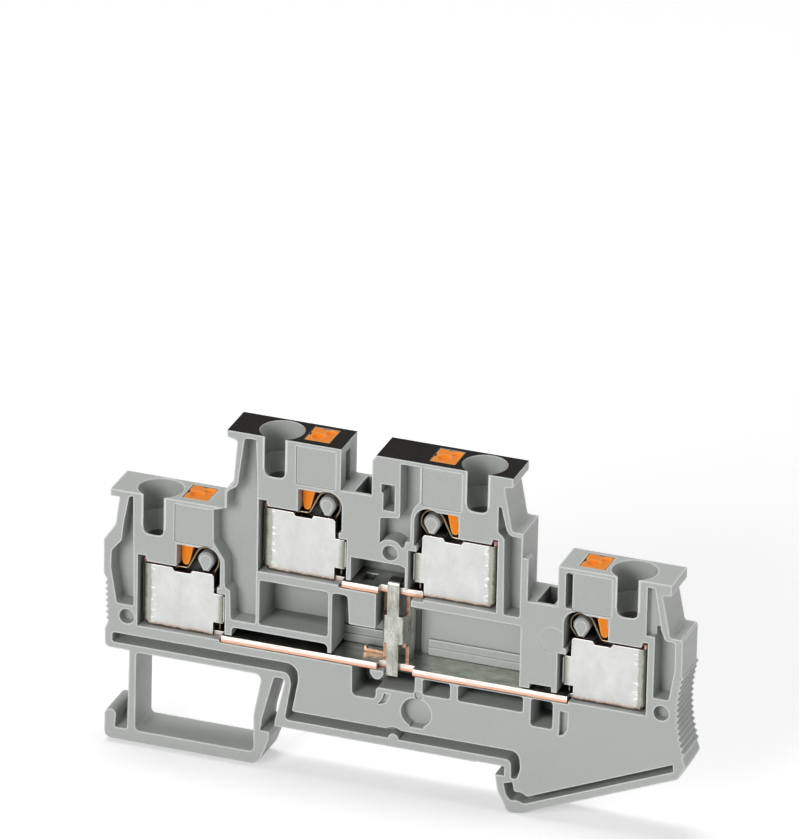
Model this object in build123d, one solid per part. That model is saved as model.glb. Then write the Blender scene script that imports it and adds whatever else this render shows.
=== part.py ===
from build123d import *
import math
import os

os.makedirs("parts", exist_ok=True)

# Frame: X runs along the block, Y along the rail with the open side at -Y, Z up.
# The origin is the middle of the rail seat. All sizes are in millimetres.

# Housing, across its thickness
pitch = 6.2
back_wall = 0.6
shallow = 2.7
panel_depth = 0.15
pin_radius = 0.95
pin_length = 1.2
pin_clearance = 0.12
pin_hole_depth = 1.4
small_corner = 0.45

# Housing, levels above the rail seat
low_top = 31.0
high_top = 42.6
low_floor = 11.35
high_floor = 22.6
left_end = -40.15
right_end = 41.85
foot_bottom = -6.15
base_top = 7.4
base_wall = 0.9
end_wall = 1.05
groove_width = 1.45
centre_valley_z = 36.6
right_valley_z = 25.1
valley_rib = 1.8

# Rail: a 35 mm top-hat rail with 1 mm sheet, held between the hook and the snap foot
rail_width = 35.0
rail_sheet = 1.0
rail_play = 0.3

# Wire entry
funnel_radius = 3.1
wire_radius = 2.1
funnel_depth = 4.6
cone_height = 2.4
funnel_y = -0.35
funnel_slot = 2.86
funnel_slot_drop = 5.8
funnel_wall = 0.4
funnel_wall_height = 8.1

# Clamp, in its own frame: u runs from the window edge towards the spring post, w up
# from the seat of the cage
cavity_reach = 5.55
cavity_end = 7.0
loop_u = 3.8
loop_rise = 1.85
loop_radius = 1.65
leg_lean = 25.5
post_radius = 1.15
post_setback = 0.9
cage_front = 0.9
cage_sheet = 0.45
cage_height = 9.1
cage_shoulder = 6.3
cage_left = -5.15
cage_right = 6.55
spring_sheet = 0.3
spring_width = 3.5
entry_u_left = -3.35
head_u_left = 2.1
right_hand_shift = 0.8
right_loop_shift = 0.35
right_tip_shift = 0.25
right_notch_shift = 0.5

# Push button
head_width = 3.5
head_depth = 4.1
head_height = 3.0
head_y = 0.2
head_sink = 0.05
button_travel = 1.6
button_play = 0.1
tip_left = 0.1
tip_right = 1.85
tip_rise = 0.48
neck_drop = 6.15

# Current bars and the bonder that joins them
bar_sheet = 1.0
bar_front = 0.15
bar_drop = 0.35
bar_gap = 0.35
tongue_sheet = 0.6
tongue_play = 0.1
bar_notch = 1.0
bridge_hole = 1.8
low_bar_left = -23.25
low_bar_right = 25.9
high_bar_left = -6.2
high_bar_right = 5.0
low_bridge_x = 22.45
high_bridge_x = -3.5
bridge_shaft = 2.4
bonder_left = -0.35
bonder_right = 2.35
bonder_web = 1.65
bonder_splay = 0.3
bonder_back = 3.1
bonder_sheet = 0.5
bonder_front = 0.5
bonder_bend = 0.5
bonder_bottom = 10.3
bonder_top = 24.2

# Grip ribs on the two end faces
rib_pitch = 0.86
rib_height = 0.4
right_ribs = 14
left_ribs = 7

front = -pitch / 2
back = pitch / 2
pocket_floor = back - back_wall
low_bar_z = low_floor - bar_drop
high_bar_z = high_floor - bar_drop
rib_low_z = low_bar_z + 2.6
roof_low_z = high_bar_z - 0.95
loop_w = cage_height + loop_rise
entry_roof = cage_height + 0.75
cavity_top = loop_w + 2.2
tip_bottom = cage_height + tip_rise

# One entry for each terminal: name, window edge in X, direction of u, cage seat, top
TERMINALS = [
    ("lower_left", -29.7, 1, low_floor, low_top),
    ("upper_left", -12.55, 1, high_floor, high_top),
    ("upper_right", 10.15, -1, high_floor, high_top),
    ("lower_right", 31.45, -1, low_floor, low_top),
]


def outline(points):
    """Closed face in X and Z; a third value at a point rounds that corner.

    The smallest corners are cut flat, which keeps the mesh light.
    """
    face = make_face(Polyline(*[(p[0], p[1]) for p in points], close=True))
    for radius in sorted({p[2] for p in points if len(p) > 2}):
        corners = []
        for p in points:
            if len(p) > 2 and p[2] == radius:
                corners.append(face.vertices().sort_by_distance((p[0], p[1], 0))[0])
        if radius < small_corner:
            face = chamfer(corners, radius * 0.6)
        else:
            face = fillet(corners, radius)
    return face


def box_outline(left, low, right, high, radius=0.0):
    points = [(left, low), (right, low), (right, high), (left, high)]
    if radius > 0:
        points = [(x, z, radius) for x, z in points]
    return outline(points)


def disc(x, z, radius):
    return Pos(x, z, 0) * Circle(radius)


def slab(face, y_front, y_back):
    """Extrude a face drawn in X and Z between two values of Y."""
    plane = Plane(origin=(0, y_back, 0), x_dir=(1, 0, 0), z_dir=(0, -1, 0))
    return extrude(plane * face, amount=y_back - y_front)


def upright(x_low, x_high, y_low, y_high, z_low, z_high):
    """Box between two corners."""
    size = (x_high - x_low, y_high - y_low, z_high - z_low)
    middle = ((x_low + x_high) / 2, (y_low + y_high) / 2, (z_low + z_high) / 2)
    return Pos(*middle) * Box(*size)


def in_clamp(points, terminal):
    """Move points from a clamp's own frame (u, w) into the block."""
    name, edge, side, seat, top = terminal
    return [(edge + side * p[0], seat + p[1], *p[2:]) for p in points]


def shift_of(terminal):
    """The right-hand wire entries and buttons stand nearer to their spring posts."""
    return 0.0 if terminal[2] > 0 else right_hand_shift


def loop_middle(terminal):
    """Middle of the spring loop and of its post, in the clamp's own frame."""
    shift = 0.0 if terminal[2] > 0 else right_loop_shift
    return loop_u + shift, loop_w


def rib_teeth(points_on_flank, bulge):
    """Saw-tooth outline points along a flank, from the first point to the last."""
    teeth = []
    for (x0, z0), (x1, z1) in zip(points_on_flank, points_on_flank[1:]):
        teeth.append((x0, z0))
        teeth.append(((x0 + x1) / 2 + bulge, z0 + (z1 - z0) * 0.35))
    return teeth + [points_on_flank[-1]]


def right_flank():
    """Concave grip: ribs on an arc between the end wall and the lower corner."""
    top_z = 18.0
    sag = 0.85
    flank = []
    for i in range(right_ribs + 1):
        t = i / right_ribs
        x = right_end + 0.45 * t - 4 * sag * t * (1 - t)
        flank.append((x, top_z - i * rib_pitch))
    return rib_teeth(flank, rib_height)


def left_flank():
    """Shorter grip on the left end, from the bottom to the top."""
    low_z = 11.4
    flank = []
    for i in range(left_ribs + 1):
        flank.append((left_end + 0.75 - 0.03 * i, low_z + i * rib_pitch))
    return rib_teeth(flank, -rib_height)


def housing_outline():
    half = rail_width / 2
    seat_left = -half + 2.15
    seat_right = half - 0.1
    catch_x = -half + 0.1
    slot_z = rail_sheet + rail_play
    flank = right_flank()
    corner_z = flank[-1][1]
    points = [
        # lower-left tower: lip and top
        (-39.25, 30.0),
        (-39.25, low_top),
        (-22.95, low_top),
        # upper-left tower
        (-22.95, 33.7, 0.5),
        (-21.75, 35.0, 1.0),
        (-21.25, 41.3, 0.3),
        (-22.7, 41.6),
        (-22.7, high_top),
        (-6.55, high_top),
        (-6.55, centre_valley_z),
        (-2.15, centre_valley_z),
        (-2.15, high_top - 0.8),
        (-1.6, high_top),
        # upper-right tower with its marker groove
        (17.65, high_top),
        (17.65, 41.3),
        (16.45, 41.1, 0.3),
        (17.65, 34.8, 0.5),
        (19.2, 34.8),
        (19.2, 31.3),
        (20.05, 31.3),
        (20.05, right_valley_z),
        (24.25, right_valley_z),
        (24.25, low_top),
        # lower-right tower with its marker groove
        (40.1, low_top),
        (40.1, 29.5),
        (38.85, 29.3, 0.3),
        (40.05, 23.3, 0.5),
        (right_end, 23.3, 0.4),
    ]
    points += flank
    points += [
        # lower corner, slanted underside and fixed hook
        (right_end + 0.9, corner_z - 1.2, 0.5),
        (right_end - 0.05, corner_z - 3.2, 0.9),
        (half + 2.7, foot_bottom - 0.15, 1.6),
        (half + 0.6, foot_bottom - 0.5, 1.0),
        (half - 1.05, -3.6, 1.5),
        (half - 1.4, -slot_z),
        (seat_right, -slot_z),
        (seat_right, 0.1),
        (half - 4.1, 0.1),
        (half - 4.1, 0.0),
        (seat_left, 0.0),
        # slit that lets the snap foot spring back
        (seat_left, 0.6, 0.4),
        (-half + 3.6, 7.3, 0.5),
        (-half + 2.0, 7.3, 0.5),
        (-half + 0.3, 0.6, 0.5),
        (catch_x, -rail_sheet - 0.05),
        (-half + 1.35, -rail_sheet - 0.05),
        (-half + 1.35, -2.2, 0.6),
        (-half + 0.2, -5.4, 0.8),
        (-half - 0.8, foot_bottom, 0.8),
        # screwdriver pocket at the end of the snap foot
        (-39.85, foot_bottom, 1.0),
        (-39.85, -1.85, 0.8),
        (-38.1, -1.85, 0.75),
        (-38.35, -4.45, 0.4),
        (-36.55, -4.45, 0.35),
        (-36.35, base_top),
        (-39.9, base_top, 0.8),
        (-39.9, 10.2, 0.5),
    ]
    points += left_flank()
    points += [
        (left_end, 18.3, 0.5),
        (left_end, 23.4, 0.5),
        (-38.5, 25.9, 0.5),
        (-37.95, 30.0),
    ]
    return outline(points)


def foot_window():
    """Opening through the snap foot that makes it spring."""
    near = -rail_width / 2
    return outline([
        (-35.35, 7.3, 0.5),
        (near + 0.25, 7.3, 0.9),
        (near - 0.9, 1.2, 2.0),
        (near - 0.8, -4.45, 0.7),
        (-35.4, -4.45, 0.7),
    ])


def clamp_cavity(terminal):
    """Room for cage, spring loop and button tip, open at the front."""
    ear = cage_height + 1.55
    ear_u = -4.45 if terminal[2] > 0 else -4.85
    loop_roof = loop_w + 0.45
    loop_wall = loop_u + 2.45
    points = [
        (-cavity_reach, 0),
        (-cavity_reach, ear),
        (ear_u, ear),
        (ear_u + 0.2, entry_roof),
        (0, entry_roof),
        (0, cavity_top),
        (loop_u - 0.8, cavity_top),
        (loop_u + 0.4, loop_roof),
        (loop_wall, loop_roof),
        (loop_wall, cage_shoulder + 1.45),
        (5.85, cage_shoulder + 1.45),
        (5.85, cage_shoulder + 0.6),
        (cavity_end, cage_shoulder + 0.6),
        (cavity_end, 0),
    ]
    name, edge, side, seat, top = terminal
    room_u = loop_u + 0.4
    loop_room = disc(edge + side * room_u, seat + loop_roof, loop_wall - room_u)
    return outline(in_clamp(points, terminal)) + loop_room


def panel(terminal):
    """Faint rectangular field beside the wire entry."""
    name, edge, side, seat, top = terminal
    ends = sorted((edge - side * 0.35, edge + side * 5.25))
    low = top - 6.2
    high = top - 0.6
    return outline([(ends[0], low, 0.4), (ends[1], low, 0.4), (ends[1], high), (ends[0], high)])


def deep_pockets():
    """Pockets that reach the thin back wall."""
    bar_roof = bar_sheet + bar_gap
    low_roof = low_bar_z + bar_roof
    high_roof = high_bar_z + bar_roof
    under = low_bar_z - 0.1
    faces = [clamp_cavity(t) for t in TERMINALS]
    # channels of the two current bars
    faces.append(box_outline(low_bar_left - 0.2, low_bar_z, low_bar_right + 0.2, low_roof))
    faces.append(box_outline(high_bar_left - 0.4, high_bar_z, high_bar_right + 0.4, high_roof))
    # gap over the left half of the lower bar
    faces.append(outline([
        (-21.7, low_roof - 0.2),
        (-21.7, rib_low_z, 0.5),
        (-8.0, rib_low_z, 0.7),
        (-8.0, low_roof - 0.2),
    ]))
    # square pocket, then the narrow one beside the column
    faces.append(box_outline(-17.8, 14.7, -8.0, roof_low_z, 0.4))
    faces.append(outline([
        (-7.45, low_roof - 0.2),
        (-7.45, roof_low_z, 0.5),
        (-5.25, roof_low_z, 0.6),
        (-5.0, 17.15),
        (-5.0, low_roof - 0.2),
    ]))
    faces.append(box_outline(-5.1, low_roof - 0.2, 4.2, 17.15, 0.0))
    # room round the bonder
    faces.append(box_outline(-1.25, 17.0, 3.7, high_bar_z + 0.1))
    # long pocket over the right half of the lower bar
    faces.append(outline([
        (3.6, low_roof - 0.2),
        (3.6, roof_low_z),
        (19.2, roof_low_z, 0.3),
        (19.2, low_roof - 0.2),
    ]))
    # room over the upper bar
    faces.append(outline([
        (-4.9, high_roof - 0.2),
        (-4.9, 27.1),
        (2.1, 27.1),
        (2.75, 26.8),
        (2.75, high_roof - 0.2),
    ]))
    # window over the lower bar at the bridge shaft
    faces.append(box_outline(20.6, low_roof - 0.2, 23.7, 13.1))
    # pockets under the lower bar
    faces.append(outline([
        (-4.45, under + 0.2),
        (-4.4, 6.7, 0.7),
        (-1.05, 6.7, 0.6),
        (-1.0, 8.5, 0.5),
        (4.45, 8.5, 0.5),
        (4.5, under + 0.2),
    ]) - outline([(-1.9, 11.5), (-1.9, 10.4, 0.3), (-1.3, 9.7, 0.3), (-0.6, 9.7, 0.3),
                  (0.0, 10.4, 0.3), (0.0, 11.5)]))
    faces.append(box_outline(5.6, 8.6, 9.5, under, 0.4))
    faces.append(box_outline(10.6, 8.6, 19.8, under, 0.4))
    faces.append(box_outline(20.9, 6.85, 24.0, under, 0.45))
    # narrow slot beside the lower-right button
    faces.append(box_outline(25.35, 25.1, 26.25, 30.3, 0.4))
    room = faces[0]
    for face in faces[1:]:
        room = room + face
    return room


def shallow_pockets():
    """Cored-out fields and the grooves that follow the outer wall."""
    left_end_field = outline([
        (-36.55, 30.4, 0.4), (-36.0, 30.4), (-35.8, 14.2), (-38.2, 14.2, 0.4),
        (-39.1, 19.5, 1.0), (-39.0, 21.9, 0.6), (-37.6, 23.6, 0.8), (-37.35, 26.0, 1.0),
    ])
    left_field = outline([
        (-20.2, 41.85, 0.4), (-18.6, 41.85), (-18.3, 34.8), (-18.3, 14.7, 0.4),
        (-21.85, 14.7, 0.4), (-22.0, 19.0, 0.5), (-22.75, 19.3, 0.4), (-22.85, 23.3, 1.0),
        (-24.45, 25.7, 1.0), (-24.55, 30.5), (-22.6, 31.1), (-22.6, 33.6, 0.4),
        (-21.15, 34.6, 0.6),
    ])
    centre_field = outline([
        (1.85, 41.95, 0.3), (4.6, 41.95), (4.6, 36.9, 0.6), (3.75, 35.8, 1.0),
        (3.4, 34.3, 0.8), (3.4, 30.8), (2.75, 30.7), (2.6, 29.75),
        (-0.9, 29.75), (-0.9, 33.6, 0.3), (1.9, 34.0, 0.4),
    ]) - disc(0.6, 28.65, 1.95)
    test_pocket = outline([
        (-0.8, 38.6), (1.1, 38.6), (1.1, 34.8), (-0.5, 34.8), (-0.5, 37.3), (-0.8, 37.4),
    ])
    right_field = outline([
        (15.7, 38.2), (16.1, 38.1), (16.85, 35.0, 0.4), (17.4, 34.2, 0.4),
        (19.0, 34.2), (19.0, 22.5, 0.4), (16.75, 22.5, 0.4), (16.6, 33.7, 0.3),
        (15.7, 34.5, 0.3),
    ])
    right_end_field = outline([
        (37.95, 24.4), (38.75, 24.4), (39.4, 22.8, 0.5), (right_end - end_wall, 22.8, 0.4),
        (right_end - end_wall, 18.6, 0.8), (40.1, 14.15, 0.3), (37.95, 14.15, 0.3),
    ])
    # groove along the base wall, down beside the slit and along the rail seat
    half = rail_width / 2
    groove_z = base_top + base_wall
    seat_wall = 1.25
    base_groove = outline([
        (-38.8, groove_z, 0.4), (-half + 4.1, groove_z, 1.0), (-half + 4.4, 6.6, 0.8),
        (-half + 3.6, seat_wall, 0.5), (half + 0.8, seat_wall, 0.8), (half + 0.9, -1.5, 0.3),
        (half + 1.7, -1.5, 0.5), (half + 2.15, 0.2, 1.0), (half + 1.9, 2.65, 1.3),
        (-half + 4.6, 2.65, 0.4), (-half + 5.4, 7.3, 1.0),
        (-half + 5.25, groove_z + groove_width, 1.6), (-38.8, groove_z + groove_width, 0.4),
    ]) + disc(1.6, seat_wall, 1.75) - disc(1.6, seat_wall, 0.75)
    # the part of the bump's groove that would reach into the seat wall is filled again
    base_groove = base_groove - box_outline(-2.0, -1.5, 5.0, seat_wall)
    under_groove = outline([
        (half - 0.15, -2.4), (half + 1.1, -2.0), (half + 1.4, -3.4, 0.3),
        (half + 2.4, -3.3, 0.3), (half + 3.2, -3.8, 0.3), (41.0, 4.8), (41.1, 3.75),
        (half + 2.8, -4.95, 0.3), (half + 1.8, -4.6, 0.3), (half + 0.8, -4.8, 0.4),
        (half + 0.2, -3.9, 0.5),
    ])
    faces = [left_end_field, left_field, centre_field, test_pocket, right_field,
             right_end_field, base_groove, under_groove]
    room = faces[0]
    for face in faces[1:]:
        room = room + face
    return room


PIN_PLACES = [(-36.75, 12.45), (0.6, 28.65), (39.15, 12.1)]


def entry_x(terminal):
    name, edge, side, seat, top = terminal
    return edge + side * (entry_u_left + shift_of(terminal))


def entry_slot(terminal):
    """Where the funnel comes through the open side: a slot with a rounded end."""
    x = entry_x(terminal)
    half = funnel_slot / 2
    high = terminal[4] + 1
    low = terminal[4] - funnel_slot_drop
    return outline([(x - half, low, 0.8), (x + half, low, 0.8), (x + half, high), (x - half, high)])


def wire_entry(terminal):
    """Straight-sided funnel, cone and wire hole down to the clamp."""
    name, edge, side, seat, top = terminal
    x = entry_x(terminal)
    shoulder = top - funnel_depth
    throat = shoulder - cone_height
    low = seat + entry_roof - 0.5
    mouth = Pos(x, funnel_y, (top + 1 + shoulder) / 2)
    shape = mouth * Cylinder(funnel_radius, top + 1 - shoulder)
    cone = Cone(wire_radius, funnel_radius, cone_height)
    shape += Pos(x, funnel_y, (shoulder + throat) / 2) * cone
    shape += Pos(x, funnel_y, (throat + low) / 2) * Cylinder(wire_radius, throat - low)
    return shape


def head_span(terminal):
    """Left and right edge of the button head in the clamp's own frame."""
    middle = head_u_left + shift_of(terminal)
    return middle - head_width / 2, middle + head_width / 2


def tip_span(terminal):
    """Left and right side of the neck in the clamp's own frame."""
    shift = 0.0 if terminal[2] > 0 else right_tip_shift
    return tip_left + shift, tip_right + shift


def button_outline(terminal):
    """Head, neck and the tapered tip that reaches down beside the spring's leg."""
    name, edge, side, seat, top = terminal
    low, high = head_span(terminal)
    outer, inner = tip_span(terminal)
    top_w = top - seat
    head_top = top_w - head_sink
    neck = top_w - neck_drop
    points = [
        (low, head_top),
        (high, head_top),
        (high, head_top - head_height),
        (inner, head_top - head_height - 0.6),
        (inner, tip_bottom + 2.92),
        (inner - 0.5, tip_bottom + 0.62),
        (inner - 0.75, tip_bottom, 0.45),
        (outer + 0.28, tip_bottom, 0.45),
        (outer, tip_bottom + 1.3),
        (outer, neck),
        (low, neck),
    ]
    return outline(in_clamp(points, terminal))


def button_shaft(terminal):
    """Room for head, neck and tip over the whole travel."""
    name, edge, side, seat, top = terminal
    low, high = head_span(terminal)
    outer, inner = tip_span(terminal)
    depth = head_depth / 2 + button_play
    narrow = spring_width / 2 + button_play
    head_low = top - head_sink - head_height - 0.6 - button_travel - 0.3
    neck_top = top - neck_drop + 0.05
    tip_low = seat + loop_w + 0.5

    def along(u_low, u_high, half, z_low, z_high):
        ends = sorted((edge + side * u_low, edge + side * u_high))
        return upright(ends[0], ends[1], head_y - half, head_y + half, z_low, z_high)

    room = along(low - button_play, high + button_play, depth, head_low, top + 1)
    room += along(low - button_play, inner + button_play, narrow, neck_top - 0.5, head_low + 0.1)
    room += along(outer - button_play, inner + button_play, narrow, tip_low, neck_top)
    return room


def make_housing():
    body = slab(housing_outline(), front, back)
    body -= slab(foot_window(), front - 1, back + 1)
    body -= slab(deep_pockets(), front - 1, pocket_floor)
    body -= slab(shallow_pockets(), front - 1, front + shallow)
    # fields that are only half as deep
    end_field = outline([(36.75, 30.2), (37.75, 30.2), (38.65, 25.2), (38.75, 24.3),
                         (37.9, 23.1), (36.75, 23.1)])
    hook_pocket = outline([(25.0, 9.75), (26.1, 9.75), (26.1, 7.2, 0.5), (25.5, 6.3), (24.95, 6.15)])
    body -= slab(end_field + hook_pocket, front - 1, front + shallow / 3)
    # walls of the wire entries, which bulge into the fields beside them
    for terminal in TERMINALS:
        top = terminal[4]
        tube = Cylinder(funnel_radius + funnel_wall, funnel_wall_height)
        tube = Pos(entry_x(terminal), funnel_y, top - funnel_wall_height / 2) * tube
        body += tube & upright(left_end, right_end, front, back, 0, top)
    panels = panel(TERMINALS[0])
    for terminal in TERMINALS[1:]:
        panels = panels + panel(terminal)
    body -= slab(panels, front - 1, front + panel_depth)
    for terminal in TERMINALS:
        body -= wire_entry(terminal)
        body -= slab(entry_slot(terminal), front - 1, front + 0.7)
        body -= button_shaft(terminal)
    # bridge shafts down to the holes in the bars
    half = bridge_shaft / 2
    shaft_y = (front + 0.45, pocket_floor)
    body -= upright(high_bridge_x - half, high_bridge_x + half, *shaft_y, high_bar_z + 1, high_top)
    body -= upright(low_bridge_x - half, low_bridge_x + half, *shaft_y, low_bar_z + 1, low_top)
    # upright reliefs that leave a rib on each valley wall
    relief = front + valley_rib
    body -= upright(19.2, 20.2, relief, back + 1, right_valley_z, 31.4)
    body -= upright(24.1, 24.85, relief, relief + valley_rib, right_valley_z, 29.6)
    body -= upright(-7.15, -6.4, relief, relief + valley_rib, centre_valley_z, 41.4)
    body -= upright(-2.3, -1.55, relief, relief + valley_rib, centre_valley_z, 41.4)
    # stepped ledges at the foot of the back wall on both sides of the bonder
    ledge_z = low_bar_z + bar_sheet + 0.05
    for x_low, x_high in ((-7.45, -1.2), (4.6, 19.2)):
        body += upright(x_low, x_high, pocket_floor - 0.6, pocket_floor, ledge_z, ledge_z + 1.15)
        body += upright(x_low, x_high, pocket_floor - 0.4, pocket_floor, ledge_z, ledge_z + 2.25)
    # blind slot beside the bonder
    body -= upright(2.45, 3.35, pocket_floor - 0.5, pocket_floor + 0.4, ledge_z, 18.2)
    # round and six-sided recesses in the base
    body -= slab(disc(4.75, 5.7, 2.15) + box_outline(3.85, 3.5, 5.85, 5.0), front - 1, front + 1.5)
    body -= slab(disc(5.05, 8.35, 0.6), front - 1, front + 0.3)
    body -= slab(disc(23.7, 20.0, 1.9), front - 1, front + 0.06)
    crescent = outline([(-0.7, 6.0), (0.35, 6.35, 0.3), (1.0, 7.75), (0.15, 7.75),
                        (-0.05, 6.9, 0.3)])
    body -= slab(crescent, front - 1, front + 0.5)
    # holes at the front take the pins of the next block, pins at the back enter the last one
    for x, z in PIN_PLACES:
        body -= slab(disc(x, z, pin_radius + pin_clearance), front - 1, front + pin_hole_depth)
        body += slab(disc(x, z, pin_radius), back - 0.2, back + pin_length)
    # drop-shaped posts that carry the spring loops
    for terminal in TERMINALS:
        u, w = loop_middle(terminal)
        x, z = in_clamp([(u, w)], terminal)[0]
        low_w = cage_height + 0.2
        waist = post_radius * 0.83
        drop = outline(in_clamp([
            (u - waist, w - 0.6), (u - 0.4, low_w), (u + 0.4, low_w), (u + waist, w - 0.6),
        ], terminal))
        post = slab(disc(x, z, post_radius) + drop, front + post_setback, pocket_floor + 0.2)
        body += chamfer(post.edges().group_by(Axis.Y)[0], 0.3)
    return body


def cage_outline(terminal):
    """Side plate of the clamp cage in the clamp's own frame."""
    notch_low = cage_height - 0.5
    right_hand = terminal[2] < 0
    notch = right_notch_shift if right_hand else 0.0
    corner = 5.35 if right_hand else 5.0
    left = cage_left - (0.15 if right_hand else 0.0)
    return [
        (left + 0.8, 0.15),
        (left, 1.2),
        (left, cage_height + 0.85),
        (-4.8, cage_height + 0.85),
        (-4.7, cage_height),
        (notch - 0.95, cage_height),
        (notch - 0.6, notch_low),
        (notch + 1.65, notch_low),
        (notch + 1.95, cage_height),
        (corner, cage_height, 0.45),
        (corner + 0.05, cage_shoulder),
        (cage_right, cage_shoulder, 0.3),
        (cage_right, 2.05),
        (5.0, 2.05),
        (5.0, 0.15),
    ]


def make_cage(terminal):
    """Folded sheet: two side plates joined by the outer wall, inner wall and roof."""
    name, edge, side, seat, top = terminal
    y0 = front + cage_front
    y1 = pocket_floor
    plate = outline(in_clamp(cage_outline(terminal), terminal))
    face_plate = slab(plate, y0, y0 + cage_sheet)
    ends = face_plate.edges().filter_by(Axis.Z).group_by(Axis.Y)[0].sort_by(Axis.X)
    cage = fillet([ends[0], ends[-1]], cage_sheet - 0.05) + slab(plate, y1 - cage_sheet, y1)

    def across(u_low, u_high, w_low, w_high):
        ends = sorted((edge + side * u_low, edge + side * u_high))
        return upright(ends[0], ends[1], y0 + 0.1, y1 - 0.1, seat + w_low, seat + w_high)

    cage += across(cage_left, cage_left + cage_sheet, 1.3, cage_height - 0.1)
    cage += across(cage_right - cage_sheet, cage_right, 2.3, cage_shoulder - 0.3)
    cage += across(2.55, 4.2, cage_height - cage_sheet, cage_height)
    return cage


def make_spring(terminal):
    """Leaf spring: holding leg in the cage, loop round the post, clamping leg under the tip."""
    middle, height = loop_middle(terminal)
    right = middle + loop_radius
    over = height + loop_radius
    leg_w = cage_height - 0.02
    lean = math.radians(leg_lean)
    corner = middle - loop_radius * math.tan((math.pi / 2 - lean) / 2)
    foot = corner - (over - leg_w) * math.tan(lean)
    path = [
        (5.75, 0.75), (5.75, 4.9), (4.75, 7.2), (4.75, height - 2.05), (right, height - 0.65),
        (right, over), (corner, over), (foot, leg_w), (foot - 1.7, leg_w), (foot - 4.5, 2.7),
    ]
    bend = loop_radius - 0.01
    bends = [1.2, 1.2, 0.9, 0.9, bend, bend, 0.5, 0.8]
    places = in_clamp(path, terminal)
    line = FilletPolyline(*[(x, 0, z) for x, z in places], radius=bends)
    start = Vector(places[0][0], 0, places[0][1])
    section = Plane(origin=start, x_dir=(1, 0, 0), z_dir=(0, 0, 1))
    strip = sweep(section * Rectangle(spring_sheet, spring_width), path=line)
    return Pos(0, head_y, 0) * strip


def make_button(terminal):
    """Push button: rectangular head with two dimples, tapered tip on the spring."""
    name, edge, side, seat, top = terminal
    low, high = head_span(terminal)
    shape = slab(button_outline(terminal), head_y - head_depth / 2, head_y + head_depth / 2)
    # below the head the button is as wide as the spring
    head_low = top - head_sink - head_height
    slim = spring_width / 2
    for y0, y1 in ((front - 1, head_y - slim), (head_y + slim, back + 1)):
        shape -= upright(edge - 8, edge + 8, y0, y1, seat, head_low)
    # two screwdriver dimples and a nick in the middle of the left and of the back edge
    head_top = top - head_sink
    middle = edge + side * (low + high) / 2
    back_y = head_y + head_depth / 2
    left_x = middle - head_width / 2
    for x, y, radius in ((middle - 0.45, head_y - 0.35, 0.95), (middle + 0.85, head_y + 1.05, 0.7)):
        depth = radius / 2
        shape -= Pos(x, y, head_top - depth / 2) * Cone(radius * 0.45, radius, depth)
    shape -= upright(left_x - 1, left_x + 0.25, head_y - 0.4, head_y + 0.4, head_top - 0.4, top)
    shape -= upright(middle - 0.4, middle + 0.4, back_y - 0.25, back_y + 1, head_top - 0.4, top)
    return shape


def bar(left_terminal, right_terminal, x_left, x_right, z, notch_right, hole_x):
    """Current bar with a notch for the bonder, a bridge hole and a tongue into each cage."""
    y0 = front + bar_front
    shape = upright(x_left, x_right, y0, pocket_floor, z, z + bar_sheet)
    shape -= upright(bonder_left - 0.7, notch_right, y0 - 1, y0 + bar_notch, z - 1, z + 2)
    half = bridge_hole / 2
    hole = upright(hole_x - half, hole_x + half, front + 1.3, front + 3.9, z - 1, z + 2)
    shape -= hole
    half = (pocket_floor - front - cage_front) / 2 - cage_sheet - tongue_play
    middle = (pocket_floor + front + cage_front) / 2
    low = z + bar_drop
    inner_wall = -cage_left - cage_sheet - tongue_play
    far_left = left_terminal[1] - inner_wall
    far_right = right_terminal[1] + inner_wall
    for x0, x1 in ((far_left, x_left + 0.6), (x_right - 0.6, far_right)):
        shape += upright(x0, x1, middle - half, middle + half, low, low + tongue_sheet)
    return shape


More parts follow.
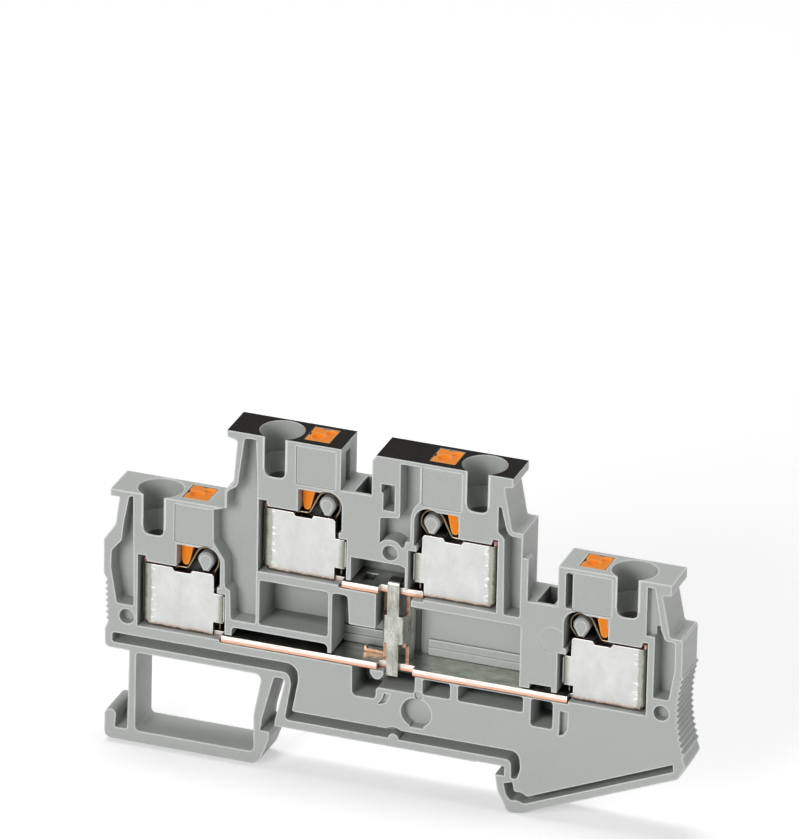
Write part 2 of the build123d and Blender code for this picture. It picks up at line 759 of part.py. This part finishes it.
def make_bonder():
    """Splayed channel of folded sheet that stands between the bars and laps over both."""
    y0 = front + bonder_front
    y1 = front + bonder_back
    low = low_bar_z + bar_sheet
    high = high_bar_z
    slit = 3.1
    bend_y = front + 1.3
    tab_y = front + 2.1
    middle = (bonder_left + bonder_right) / 2
    web_left = middle - bonder_web / 2
    web_right = middle + bonder_web / 2

    def plan(inset, y_front, y_back):
        """Face in X and Y between the flanges, set in from their outer sides."""
        near = bonder_splay * (y_front - y0) - inset
        far = bonder_splay * (y_back - y0) - inset
        return make_face(Polyline(
            (bonder_left - near, y_front), (bonder_right + near, y_front),
            (bonder_right + far, y_back), (bonder_left - far, y_back), close=True))

    outer = plan(0, y0, y1)
    outer = fillet(outer.vertices().group_by(Axis.Y)[0], bonder_bend)
    inner = plan(bonder_sheet * math.hypot(1, bonder_splay), y0 + bonder_sheet, y1 + 1)
    channel = extrude(Pos(0, 0, low) * (outer - inner), amount=high - low, dir=(0, 0, 1))
    # slits near both bars leave upright tabs on the flanges
    for z0, z1, deep0, deep1 in (
        (low - 0.5, low + slit, low - 0.5, low + slit - 0.7),
        (high - slit, high + 0.5, high - slit - 0.2, high + 0.5),
    ):
        for x0, x1 in ((bonder_left - 2, web_left), (web_right, bonder_right + 2)):
            channel -= upright(x0, x1, y0 - 1, bend_y, z0, z1)
            channel -= upright(x0, x1, bend_y - 0.1, tab_y, deep0, deep1)
    # narrow web that laps over the notched edges of the bars and folds back over the upper one
    web = upright(web_left, web_right, y0, y0 + bonder_sheet, bonder_bottom, bonder_top)
    fold_z = bonder_top - bonder_sheet
    web += upright(web_left, web_right, y0, front + 2.4, fold_z, bonder_top)
    bend_line = web.edges().filter_by(Axis.X).group_by(Axis.Y)[0].sort_by(Axis.Z)[-1]
    channel += fillet(bend_line, bonder_bend - 0.02)
    # foot bent out over the lower bar, with a curled end
    foot_left = bonder_left - 3.5
    foot = outline([
        (bonder_left - 0.5, low), (foot_left, low, 0.35), (foot_left, low + 0.85),
        (foot_left + 0.4, low + 0.85), (foot_left + 0.4, low + 0.5), (bonder_left - 0.5, low + 0.5),
    ])
    channel += slab(foot, front + 2.9, front + 3.6)
    return channel


housing = make_housing()
parts = {"housing": housing}
for terminal in TERMINALS:
    name = terminal[0]
    parts[name + "_cage"] = make_cage(terminal)
    parts[name + "_spring"] = make_spring(terminal)
    parts[name + "_button"] = make_button(terminal)
lower_left, upper_left, upper_right, lower_right = TERMINALS
parts["lower_bar"] = bar(
    lower_left, lower_right, low_bar_left, low_bar_right, low_bar_z, 4.05, low_bridge_x
)
parts["upper_bar"] = bar(
    upper_left, upper_right, high_bar_left, high_bar_right, high_bar_z, high_bar_right + 1,
    high_bridge_x + 0.3
)
parts["bonder"] = make_bonder()

for node, shape in parts.items():
    export_step(shape, os.path.join("parts", node + ".step"))
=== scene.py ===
import math

import bmesh
import bpy
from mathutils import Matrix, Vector


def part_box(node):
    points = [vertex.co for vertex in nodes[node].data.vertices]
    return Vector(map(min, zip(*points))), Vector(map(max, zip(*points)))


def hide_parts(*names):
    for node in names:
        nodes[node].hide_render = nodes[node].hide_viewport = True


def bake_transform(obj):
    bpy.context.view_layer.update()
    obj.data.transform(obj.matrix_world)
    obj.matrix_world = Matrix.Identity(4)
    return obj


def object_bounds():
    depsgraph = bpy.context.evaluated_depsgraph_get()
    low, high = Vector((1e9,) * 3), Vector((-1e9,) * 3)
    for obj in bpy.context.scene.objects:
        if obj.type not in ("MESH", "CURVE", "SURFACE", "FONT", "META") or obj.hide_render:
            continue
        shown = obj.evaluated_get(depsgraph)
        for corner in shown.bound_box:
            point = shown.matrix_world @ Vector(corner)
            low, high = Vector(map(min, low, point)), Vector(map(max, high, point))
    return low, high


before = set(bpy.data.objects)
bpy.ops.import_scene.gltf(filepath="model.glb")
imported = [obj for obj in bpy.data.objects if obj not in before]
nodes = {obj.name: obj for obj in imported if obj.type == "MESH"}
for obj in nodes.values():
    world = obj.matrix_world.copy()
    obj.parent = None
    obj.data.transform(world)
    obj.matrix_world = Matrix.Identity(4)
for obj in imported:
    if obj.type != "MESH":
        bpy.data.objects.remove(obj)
cad_low, cad_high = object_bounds()

MM = 0.001

# Camera, as the photograph was taken: metres, degrees, and millimetres for the lens
CAMERA_PLACE = (0.449426, -1.275567, 0.676418)
AZIMUTH, ELEVATION, ROLL = 19.3915, 24.9637, 1.2173
LENS, SENSOR_WIDTH = 483.247, 36
NEAREST, FARTHEST = 0.05, 20

# Studio, in metres and watts. Softboxes: name, place from the block's middle, side, power
SOFTBOXES = [
    ("key", (-0.3, -1.1, 0.42), 0.5, 7.6),
    ("top", (-0.1, 0.12, 1.1), 0.5, 5.2),
    ("side", (1.05, 0.25, 0.3), 0.6, 3),
]
AMBIENT = 0.12
FLOOR_REACH, FLOOR_DROP = 4.0, 0.2 * MM
FLOOR_TONE, FLOOR_ROUGHNESS, FLOOR_SPECULAR, FLOOR_LIFT = 0.85, 0.9, 0.1, 0.43

# Sizes of the part's source that the scene follows, in millimetres. Clamps: name, window
# edge, way from it to the spring post, seat of the cage
CLAMPS = [
    ("lower_left", -29.7, 1, 11.35),
    ("upper_left", -12.55, 1, 22.6),
    ("upper_right", 10.15, -1, 22.6),
    ("lower_right", 31.45, -1, 11.35),
]
LOOP_U, LOOP_W, LOOP_RADIUS, RIGHT_LOOP_SHIFT = 3.8, 10.95, 1.65, 0.35
LEG_LEAN, LEG_W = 25.5, 9.08
SPRING_SHEET, SPRING_WIDTH, SPRING_Y = 0.3, 3.5, 0.2
TOWER_TOP = 42.6

# Spring strip in its clamp's frame, in millimetres: u runs from the window edge towards
# the post and w up from the seat
BACK_U, NECK_U = 5.75, 4.75
FOOT_W, BEND_W, NECK_W = 0.75, 4.9, 7.2
NECK_BELOW_LOOP, REST_BELOW_LOOP = 2.05, 0.65
LEG_TURN, LEG_REACH, TIP_W = 1.7, 4.5, 2.7
SOFT_EDGE, STEP = 0.07, 0.2

# Where a face lies on the folded sheet pieces, in millimetres
PLATE_FRONT_Y, PLATE_BACK_Y, WEB_Y = -1.7, 2.0, -2.3


def srgb(r, g, b):
    """Linear colour from the 0 to 255 values seen on screen."""
    def linear(v):
        v /= 255
        return v / 12.92 if v <= 0.04045 else ((v + 0.055) / 1.055) ** 2.4
    return (linear(r), linear(g), linear(b), 1.0)


def shade(colour, factor):
    """The same colour, darker."""
    return tuple(v * factor for v in colour[:3]) + (1,)


class Shader:
    """A material's nodes, with short calls for the ones used here."""

    def __init__(self, name):
        self.material = bpy.data.materials.new(name)
        self.material.use_nodes = True
        self.tree = self.material.node_tree
        self.bsdf = self.tree.nodes["Principled BSDF"]
        self.place = self.tree.nodes.new("ShaderNodeTexCoord").outputs["Object"]

    def node(self, kind, **values):
        made = self.tree.nodes.new(kind)
        for key, value in values.items():
            setattr(made, key, value)
        return made

    def link(self, source, target):
        self.tree.links.new(source, target)

    def axes(self):
        """The place on the object, as outputs X, Y and Z in metres."""
        split = self.node("ShaderNodeSeparateXYZ")
        self.link(self.place, split.inputs[0])
        return split.outputs

    def noise(self, scale, detail=2.0, rough=0.5, stretch=None):
        place = self.place
        if stretch is not None:
            mapping = self.node("ShaderNodeMapping")
            mapping.inputs["Scale"].default_value = stretch
            self.link(place, mapping.inputs["Vector"])
            place = mapping.outputs["Vector"]
        made = self.node("ShaderNodeTexNoise")
        made.inputs["Scale"].default_value = scale
        made.inputs["Detail"].default_value = detail
        made.inputs["Roughness"].default_value = rough
        self.link(place, made.inputs["Vector"])
        return made.outputs["Fac"]

    def ramp(self, source, low, high, to_low=0.0, to_high=1.0):
        """Maps low to high onto to_low to to_high, and holds the ends."""
        made = self.node("ShaderNodeMapRange")
        for key, value in (("From Min", low), ("From Max", high),
                           ("To Min", to_low), ("To Max", to_high)):
            made.inputs[key].default_value = value
        self.link(source, made.inputs["Value"])
        return made.outputs["Result"]

    def mix(self, factor, a, b):
        made = self.node("ShaderNodeMix", data_type="RGBA")
        for socket, value in (("Factor", factor), ("A", a), ("B", b)):
            target = [s for s in made.inputs if s.name == socket and s.enabled][0]
            if isinstance(value, bpy.types.NodeSocket):
                self.link(value, target)
            else:
                target.default_value = value
        return [s for s in made.outputs if s.enabled][0]

    def math(self, operation, a, b):
        made = self.node("ShaderNodeMath", operation=operation)
        for i, value in enumerate((a, b)):
            if isinstance(value, bpy.types.NodeSocket):
                self.link(value, made.inputs[i])
            else:
                made.inputs[i].default_value = value
        return made.outputs[0]

    def bevel(self, radius):
        made = self.node("ShaderNodeBevel", samples=6)
        made.inputs["Radius"].default_value = radius
        return made.outputs[0]

    def edges(self, radius, low, high):
        """1 on edges and corners, 0 on open faces."""
        true_normal = self.node("ShaderNodeNewGeometry").outputs["Normal"]
        dot = self.node("ShaderNodeVectorMath", operation="DOT_PRODUCT")
        self.link(self.bevel(radius), dot.inputs[0])
        self.link(true_normal, dot.inputs[1])
        return self.ramp(dot.outputs["Value"], 1 - low, 1 - high)

    def hollows(self, distance):
        """1 in the open, towards 0 in narrow hollows."""
        made = self.node("ShaderNodeAmbientOcclusion", samples=6)
        made.inputs["Distance"].default_value = distance
        return made.outputs["AO"]

    def paint_hollow_shade(self, colour, distance, low, high):
        """Painted shade in hollows: metal there reflects only its surroundings."""
        open_air = self.ramp(self.hollows(distance), low, high)
        return self.mix(open_air, (0.02, 0.02, 0.017, 1), colour)

    def relief(self, height, strength, distance, edge_radius):
        """Fine bumps over edges that catch the light as rounded ones do."""
        bump = self.node("ShaderNodeBump")
        bump.inputs["Strength"].default_value = strength
        bump.inputs["Distance"].default_value = distance
        self.link(height, bump.inputs["Height"])
        self.link(self.bevel(edge_radius), bump.inputs["Normal"])
        self.link(bump.outputs["Normal"], self.bsdf.inputs["Normal"])

    def finish(self, colour, roughness, metallic=0.0):
        self.link(colour, self.bsdf.inputs["Base Color"])
        self.link(roughness, self.bsdf.inputs["Roughness"])
        self.bsdf.inputs["Metallic"].default_value = metallic
        return self.material


def moulded(name, base, pale, painted_shade_tone, grain=3200, rough=(0.42, 0.56), specular=0.35):
    """Matt moulded plastic: fine grain, faint flow marks, painted highlights on pale edges, painted
    shade in corners and shafts.
    """
    s = Shader(name)
    flow = s.noise(70, 3, 0.55, (1.0, 1.0, 2.2))
    fine = s.noise(grain, 3, 0.6)
    colour = s.mix(s.ramp(flow, 0.3, 0.7, 0.0, 0.35), base, shade(base, 0.93))
    colour = s.mix(s.ramp(fine, 0.35, 0.7, 0.0, 0.08), colour, pale)
    air = s.hollows(2.0 * MM)
    # painted shade: corners and creases are darkened towards the third colour
    corner = s.math("SUBTRACT", 1.0, s.ramp(air, 0.12, 0.55))
    colour = s.mix(s.math("MULTIPLY", corner, 0.2), colour, painted_shade_tone)
    # painted shade: shafts get darker towards the closed back
    inward = s.ramp(s.axes()["Y"], -0.5 * MM, 1.0 * MM, 0.1, 0.95)
    painted_shaft_shade = s.math("SUBTRACT", 1.0, s.ramp(s.hollows(9.0 * MM), 0.04, 0.34))
    colour = s.mix(s.math("MULTIPLY", painted_shaft_shade, inward), colour, shade(painted_shade_tone, 0.12))
    # painted highlight: pale rims along the open edges, kept out of the hollows
    rim = s.math("MULTIPLY", s.edges(0.36 * MM, 0.003, 0.045), s.ramp(air, 0.72, 0.9))
    colour = s.mix(rim, colour, pale)
    s.relief(fine, 0.14, 0.02 * MM, 0.2 * MM)
    s.bsdf.inputs["Specular IOR Level"].default_value = specular
    return s.finish(colour, s.ramp(flow, 0.3, 0.7, *rough))


def sheet_metal(name, base, speck, edge, rough, scratch, edge_highlight_share,
                drawn=(1.0, 1.0, 1.0), open_air=0.75):
    """Strip metal: cloudy specks along the way it was drawn, fine scratches, painted highlights on the
    edges and painted shade in the hollows.
    """
    s = Shader(name)
    cloud = s.noise(900, 5, 0.62, drawn)
    specks = s.noise(5200, 2, 0.5)
    lines = s.noise(scratch, 2, 0.4, (1.0, 12.0, 9.0))
    colour = s.mix(s.ramp(cloud, 0.38, 0.68, 0.0, 0.75), base, speck)
    colour = s.mix(s.ramp(specks, 0.55, 0.72, 0.0, 0.5), colour, speck)
    # painted highlight: edges lightened towards the edge colour
    colour = s.mix(s.math("MULTIPLY", s.edges(0.12 * MM, 0.02, 0.2), edge_highlight_share), colour, edge)
    # painted shade in the hollows
    colour = s.paint_hollow_shade(colour, 4.0 * MM, 0.1, open_air)
    height = s.math("ADD", s.math("MULTIPLY", cloud, 0.6), s.math("MULTIPLY", lines, 0.4))
    s.relief(height, 0.35, 0.03 * MM, 0.1 * MM)
    return s.finish(colour, s.ramp(cloud, 0.3, 0.7, *rough), 1.0)


def cut_strip(bar):
    """Front edge of a bar: tin drawn over the upper half of the cut, bare copper below."""
    low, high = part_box(bar)
    split_z = low.z + 0.45 * (high.z - low.z)
    s = Shader(bar + "_cut")
    cloud = s.noise(420, 4, 0.6, (1.0, 3.0, 3.0))
    wander = s.math("MULTIPLY", s.math("SUBTRACT", cloud, 0.5), 0.3 * MM)
    height = s.math("ADD", s.axes()["Z"], wander)
    drawn = s.mix(s.ramp(cloud, 0.35, 0.65), srgb(242, 242, 239), srgb(228, 217, 208))
    bare = s.ramp(height, split_z + 0.06 * MM, split_z - 0.06 * MM)
    colour = s.mix(bare, drawn, srgb(226, 180, 156))
    colour = s.mix(s.ramp(height, low.z + 0.14 * MM, low.z + 0.04 * MM), colour, srgb(150, 100, 76))
    s.relief(s.noise(900, 4, 0.6), 0.3, 0.02 * MM, 0.12 * MM)
    return s.finish(colour, s.ramp(cloud, 0.3, 0.7, 0.34, 0.5), 1.0)


def cage_tin(clamp, side):
    """A cage's tin: pale flat plate, painted shade on the darker greenish bends at both ends, along the
    foot and in hollows, and painted highlights by the outer bend and on the edges.
    """
    low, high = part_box(clamp + "_cage")
    outer, inner = (low.x, high.x) if side > 0 else (high.x, low.x)
    s = Shader(clamp + "_tin")
    cloud = s.noise(900, 5, 0.62)
    wiped = s.noise(420, 4, 0.6, (1.0, 1.0, 0.6))
    specks = s.noise(4200, 2, 0.5)
    ticks = s.noise(1500, 2, 0.5, (0.7, 1.0, 1.6))
    place = s.axes()
    wander = s.math("MULTIPLY", s.math("SUBTRACT", cloud, 0.5), 0.7 * MM)

    def run_from(start, way, axis):
        """Distance from a line along one axis, with a little unevenness."""
        straight = s.math("MULTIPLY", s.math("SUBTRACT", place[axis], start), way)
        return s.math("ADD", straight, wander)

    from_outer = run_from(outer, side, "X")
    from_inner = run_from(inner, -side, "X")
    from_foot = run_from(low.z, 1, "Z")
    # flat plate
    colour = s.mix(s.ramp(wiped, 0.35, 0.65, 0.0, 0.7), srgb(209, 210, 208), srgb(192, 193, 190))
    colour = s.mix(s.ramp(specks, 0.62, 0.72, 0.0, 0.4), colour, srgb(174, 175, 170))
    # painted highlight: bright ticks where the outer bend begins; then painted shade on the outer bend
    # itself and on the inner bend
    painted_tick_highlight = s.math("MULTIPLY", s.ramp(from_outer, 2.0 * MM, 1.35 * MM), s.ramp(ticks, 0.54, 0.6))
    colour = s.mix(painted_tick_highlight, colour, srgb(244, 245, 243))
    colour = s.mix(s.ramp(from_outer, 1.4 * MM, 1.15 * MM, 0.0, 0.9), colour, srgb(158, 160, 148))
    colour = s.mix(s.ramp(from_outer, 0.8 * MM, 0.4 * MM), colour, srgb(84, 85, 72))
    colour = s.mix(s.ramp(from_inner, 1.05 * MM, 0.45 * MM, 0.0, 0.8), colour, srgb(124, 127, 110))
    # painted shade along the bent foot, with a painted dark notch where the outer bend meets it
    colour = s.mix(s.ramp(from_foot, 0.6 * MM, 0.25 * MM, 0.0, 0.75), colour, srgb(206, 184, 164))
    colour = s.mix(s.ramp(from_foot, 0.26 * MM, 0.06 * MM), colour, srgb(100, 86, 68))
    painted_notch_shade = s.math("MULTIPLY", s.ramp(from_outer, 0.95 * MM, 0.75 * MM),
                   s.ramp(from_foot, 0.62 * MM, 0.42 * MM))
    colour = s.mix(painted_notch_shade, colour, srgb(58, 44, 34))
    # bare copper ear at the top
    ear = s.ramp(place["Z"], high.z - 0.75 * MM, high.z - 0.5 * MM)
    bare = s.mix(s.ramp(cloud, 0.4, 0.6), srgb(240, 206, 186), srgb(160, 92, 64))
    colour = s.mix(ear, colour, bare)
    # painted highlight on bright edges, away from the bend and the foot
    edge_highlight_mask = s.math("MULTIPLY", s.edges(0.24 * MM, 0.01, 0.12), s.ramp(from_outer, 1.1 * MM, 1.4 * MM))
    edge_highlight_mask = s.math("MULTIPLY", edge_highlight_mask, s.ramp(from_foot, 0.6 * MM, 1.0 * MM))
    colour = s.mix(edge_highlight_mask, colour, srgb(250, 250, 248))
    # painted shade in the hollows
    colour = s.paint_hollow_shade(colour, 3.0 * MM, 0.1, 0.6)
    s.relief(s.math("ADD", cloud, wiped), 0.3, 0.03 * MM, 0.1 * MM)
    return s.finish(colour, s.ramp(cloud, 0.3, 0.7, 0.42, 0.58), 1.0)


def black_print():
    """Thin black ink on the moulded top faces."""
    s = Shader("black_print")
    fine = s.noise(2600, 3, 0.6)
    cloud = s.noise(120, 3, 0.6)
    colour = s.mix(s.ramp(cloud, 0.3, 0.7), srgb(26, 24, 22), srgb(34, 32, 30))
    # painted highlight: the ink is lighter along its edges
    edge_highlight_mask = s.math("MULTIPLY", s.edges(0.1 * MM, 0.02, 0.25), 0.5)
    colour = s.mix(edge_highlight_mask, colour, srgb(84, 84, 82))
    s.relief(fine, 0.2, 0.015 * MM, 0.1 * MM)
    s.bsdf.inputs["Specular IOR Level"].default_value = 0.06
    return s.finish(colour, s.ramp(fine, 0.3, 0.7, 0.6, 0.72))


# moulded colours: base; pale, for the grain and the painted rim highlight; then the tone of the painted
# shade
grey = moulded("moulded_grey", srgb(186, 189, 186), srgb(242, 244, 242), srgb(84, 88, 84))
orange = moulded("moulded_orange", srgb(255, 141, 34), srgb(255, 190, 112), srgb(206, 84, 12),
                 2600, (0.36, 0.5), 0.1)
# sheet metals: base, speck, and the colour of the painted edge highlight
bar_face = sheet_metal("tinned_bar", srgb(206, 210, 201), srgb(146, 150, 138), srgb(240, 232, 222),
                       (0.28, 0.42), 400, 0.8, (0.4, 1.0, 1.0), 0.5)
cut_copper = sheet_metal("bare_cut_edge", srgb(216, 172, 146), srgb(168, 112, 84),
                         srgb(240, 220, 206), (0.3, 0.44), 500, 0.6)
cage_rim = sheet_metal("cage_rim", srgb(206, 150, 120), srgb(112, 78, 56),
                       srgb(226, 196, 172), (0.34, 0.5), 500, 0.5)
bonder_face = sheet_metal("tinned_bonder", srgb(202, 203, 194), srgb(98, 100, 86),
                          srgb(240, 236, 228), (0.3, 0.5), 300, 0.6, (1.3, 1.0, 0.35))
spring_face = sheet_metal("spring_strip", srgb(168, 152, 124), srgb(120, 104, 80),
                          srgb(214, 198, 164), (0.24, 0.38), 300, 0.7)
ink = black_print()


def dress(name, *materials):
    """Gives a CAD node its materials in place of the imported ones."""
    slots = nodes[name].data.materials
    slots.clear()
    for material in materials:
        slots.append(material)


def paint_faces(name, chooser):
    """Gives a node's faces its second material where the chooser says so."""
    for face in nodes[name].data.polygons:
        face.material_index = int(chooser(face.center / MM, face.normal))


def on_upper_top(centre, normal):
    return normal.z > 0.9 and centre.z > TOWER_TOP - 0.05


def on_cut_side(centre, normal):
    """Only the long front edge is bare; the walls of the holes are tinned."""
    return normal.y < -0.5 and centre.y < 0


def on_sheet_end(centre, normal):
    """The bonder shows bare metal where it was cut: at its ends and on its flanges' edges."""
    return normal.z < -0.5 or (normal.y < -0.8 and centre.y > WEB_Y)


def on_plate_edge(centre, normal):
    """The cut rim along the top and foot of a cage's two side plates."""
    return abs(normal.z) > 0.5 and (centre.y < PLATE_FRONT_Y or centre.y > PLATE_BACK_Y)


dress("housing", grey, ink)
paint_faces("housing", on_upper_top)
for bar in ("lower_bar", "upper_bar"):
    dress(bar, bar_face, cut_strip(bar))
    paint_faces(bar, on_cut_side)
dress("bonder", bonder_face, cut_copper)
paint_faces("bonder", on_sheet_end)
for clamp, edge, side, seat in CLAMPS:
    dress(clamp + "_cage", cage_tin(clamp, side), cage_rim)
    paint_faces(clamp + "_cage", on_plate_edge)
    dress(clamp + "_button", orange)


def rounded_path(corners, radii, step):
    """Points along straight runs joined by arcs; corners and radii in millimetres."""
    points = [Vector(corners[0])]
    for before, corner, after, radius in zip(corners, corners[1:], corners[2:], radii):
        corner = Vector(corner)
        back = (Vector(before) - corner).normalized()
        ahead = (Vector(after) - corner).normalized()
        half = back.angle(ahead) / 2
        reach = radius / math.tan(half)
        centre = corner + (back + ahead).normalized() * (radius / math.sin(half))
        arm = corner + back * reach - centre
        turn = arm.angle_signed(corner + ahead * reach - centre)
        count = max(3, math.ceil(abs(turn) * radius / step))
        for i in range(count + 1):
            swing = -turn * i / count
            points.append(centre + Vector((
                arm.x * math.cos(swing) - arm.y * math.sin(swing),
                arm.x * math.sin(swing) + arm.y * math.cos(swing))))
    points.append(Vector(corners[-1]))
    even = [points[0]]
    for point in points[1:]:
        start, run = even[-1], point - even[-1]
        count = max(1, math.ceil(run.length / step))
        if run.length > 1e-6:
            even += [start + run * (i + 1) / count for i in range(count)]
    return even


def spring_path(side):
    """Run of the leaf spring: from the cage up its back, round the post and down to the tip."""
    middle = LOOP_U + (0 if side > 0 else RIGHT_LOOP_SHIFT)
    right = middle + LOOP_RADIUS
    over = LOOP_W + LOOP_RADIUS
    lean = math.radians(LEG_LEAN)
    corner = middle - LOOP_RADIUS * math.tan((math.pi / 2 - lean) / 2)
    foot = corner - (over - LEG_W) * math.tan(lean)
    corners = [
        (BACK_U, FOOT_W), (BACK_U, BEND_W), (NECK_U, NECK_W), (NECK_U, LOOP_W - NECK_BELOW_LOOP),
        (right, LOOP_W - REST_BELOW_LOOP), (right, over), (corner, over),
        (foot, LEG_W), (foot - LEG_TURN, LEG_W), (foot - LEG_REACH, TIP_W)]
    # a little under the loop's radius, so that the two arcs never overlap
    bend = LOOP_RADIUS - 0.01
    return rounded_path(corners, [1.2, 1.2, 0.9, 0.9, bend, bend, 0.5, 0.8], STEP)


def spring_strip(name, edge, side, seat):
    """The leaf spring as one bent strip with softened edges."""
    path = spring_path(side)
    half, wide, soft = SPRING_SHEET / 2, SPRING_WIDTH / 2, SOFT_EDGE
    ring = [(-half + soft, -wide), (half - soft, -wide), (half, -wide + soft), (half, wide - soft),
            (half - soft, wide), (-half + soft, wide), (-half, wide - soft), (-half, -wide + soft)]
    mesh = bmesh.new()
    rows = []
    for i, point in enumerate(path):
        ahead = (path[min(i + 1, len(path) - 1)] - path[max(i - 1, 0)]).normalized()
        across = Vector((-ahead.y, ahead.x))
        row = []
        for offset, y in ring:
            spot = point + across * offset
            row.append(mesh.verts.new(Vector((edge + side * spot.x, SPRING_Y + y, seat + spot.y)) * MM))
        rows.append(row)
    for a, b in zip(rows, rows[1:]):
        for k in range(len(ring)):
            n = (k + 1) % len(ring)
            mesh.faces.new((a[k], a[n], b[n], b[k]))
    mesh.faces.new(rows[0][::-1])
    mesh.faces.new(rows[-1])
    bmesh.ops.recalc_face_normals(mesh, faces=mesh.faces)
    data = bpy.data.meshes.new(name)
    mesh.to_mesh(data)
    mesh.free()
    for face in data.polygons:
        face.use_smooth = len(face.vertices) == 4
    data.materials.append(spring_face)
    piece = bpy.data.objects.new(name, data)
    bpy.context.scene.collection.objects.link(piece)
    return piece


for clamp, edge, side, seat in CLAMPS:
    strip = spring_strip(clamp + "_leaf", edge, side, seat)
    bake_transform(strip)
    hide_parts(clamp + "_spring")


def seen_directly(tree):
    """1 for rays from the camera, in gloss and through glass, 0 for light that falls on things."""
    rays = tree.nodes.new("ShaderNodeLightPath")
    seen = rays.outputs["Is Camera Ray"]
    for kind in ("Is Glossy Ray", "Is Transmission Ray"):
        either = tree.nodes.new("ShaderNodeMath")
        either.operation = "MAXIMUM"
        tree.links.new(seen, either.inputs[0])
        tree.links.new(rays.outputs[kind], either.inputs[1])
        seen = either.outputs[0]
    return seen


def floor_material():
    """Pale floor that reads as white to the camera and in reflections, and keeps shadows."""
    material = bpy.data.materials.new("pale_floor")
    material.use_nodes = True
    tree = material.node_tree
    bsdf = tree.nodes["Principled BSDF"]
    bsdf.inputs["Base Color"].default_value = (FLOOR_TONE, FLOOR_TONE, FLOOR_TONE, 1)
    bsdf.inputs["Roughness"].default_value = FLOOR_ROUGHNESS
    bsdf.inputs["Specular IOR Level"].default_value = FLOOR_SPECULAR
    lift = tree.nodes.new("ShaderNodeMath")
    lift.operation = "MULTIPLY"
    lift.inputs[1].default_value = FLOOR_LIFT
    tree.links.new(seen_directly(tree), lift.inputs[0])
    bsdf.inputs["Emission Color"].default_value = (1, 1, 1, 1)
    tree.links.new(lift.outputs[0], bsdf.inputs["Emission Strength"])
    return material


def build_floor():
    """One wide pale plane just under the block."""
    mesh = bpy.data.meshes.new("floor")
    z = cad_low.z - FLOOR_DROP
    corners = [(x * FLOOR_REACH, y * FLOOR_REACH, z) for x, y in ((-1, -1), (1, -1), (1, 1), (-1, 1))]
    mesh.from_pydata(corners, [], [(0, 1, 2, 3)])
    mesh.materials.append(floor_material())
    made = bpy.data.objects.new("floor", mesh)
    bpy.context.scene.collection.objects.link(made)
    return made


floor = build_floor()


def build_world():
    """Even white surroundings: full white to the camera and in gloss, softer as light."""
    world = bpy.data.worlds.new("studio")
    bpy.context.scene.world = world
    world.use_nodes = True
    tree = world.node_tree
    background = tree.nodes["Background"]
    background.inputs["Color"].default_value = (1, 1, 1, 1)
    strength = tree.nodes.new("ShaderNodeMapRange")
    strength.inputs["To Min"].default_value = AMBIENT
    strength.inputs["To Max"].default_value = 1.0
    tree.links.new(seen_directly(tree), strength.inputs["Value"])
    tree.links.new(strength.outputs["Result"], background.inputs["Strength"])


def softbox(name, place, target, size, power):
    """Square area lamp turned to a point."""
    data = bpy.data.lights.new(name, "AREA")
    data.shape = "SQUARE"
    data.size = size
    data.energy = power
    lamp = bpy.data.objects.new(name, data)
    bpy.context.scene.collection.objects.link(lamp)
    lamp.location = place
    lamp.rotation_mode = "QUATERNION"
    lamp.rotation_quaternion = (target - place).to_track_quat("-Z", "Y")


def build_camera():
    """Camera at the photograph's place, turned by azimuth, elevation and roll."""
    azimuth, elevation, roll = (math.radians(v) for v in (AZIMUTH, ELEVATION, ROLL))
    back = Vector((math.sin(azimuth) * math.cos(elevation),
                   -math.cos(azimuth) * math.cos(elevation), math.sin(elevation)))
    level_right = Vector((math.cos(azimuth), math.sin(azimuth), 0))
    level_up = back.cross(level_right)
    right = level_right * math.cos(roll) + level_up * math.sin(roll)
    up = back.cross(right)
    data = bpy.data.cameras.new("camera")
    data.lens = LENS
    data.sensor_width = SENSOR_WIDTH
    data.clip_start = NEAREST
    data.clip_end = FARTHEST
    made = bpy.data.objects.new("camera", data)
    bpy.context.scene.collection.objects.link(made)
    turn = made.matrix_world.to_3x3()
    turn.col[0], turn.col[1], turn.col[2] = right, up, back
    made.rotation_mode = "QUATERNION"
    made.rotation_quaternion = turn.to_quaternion()
    made.location = CAMERA_PLACE
    return made


build_world()
middle = (cad_low + cad_high) / 2
for name, offset, size, power in SOFTBOXES:
    softbox(name, middle + Vector(offset), middle, size, power)
bpy.context.scene.camera = build_camera()
bpy.context.scene.view_settings.view_transform = "Standard"
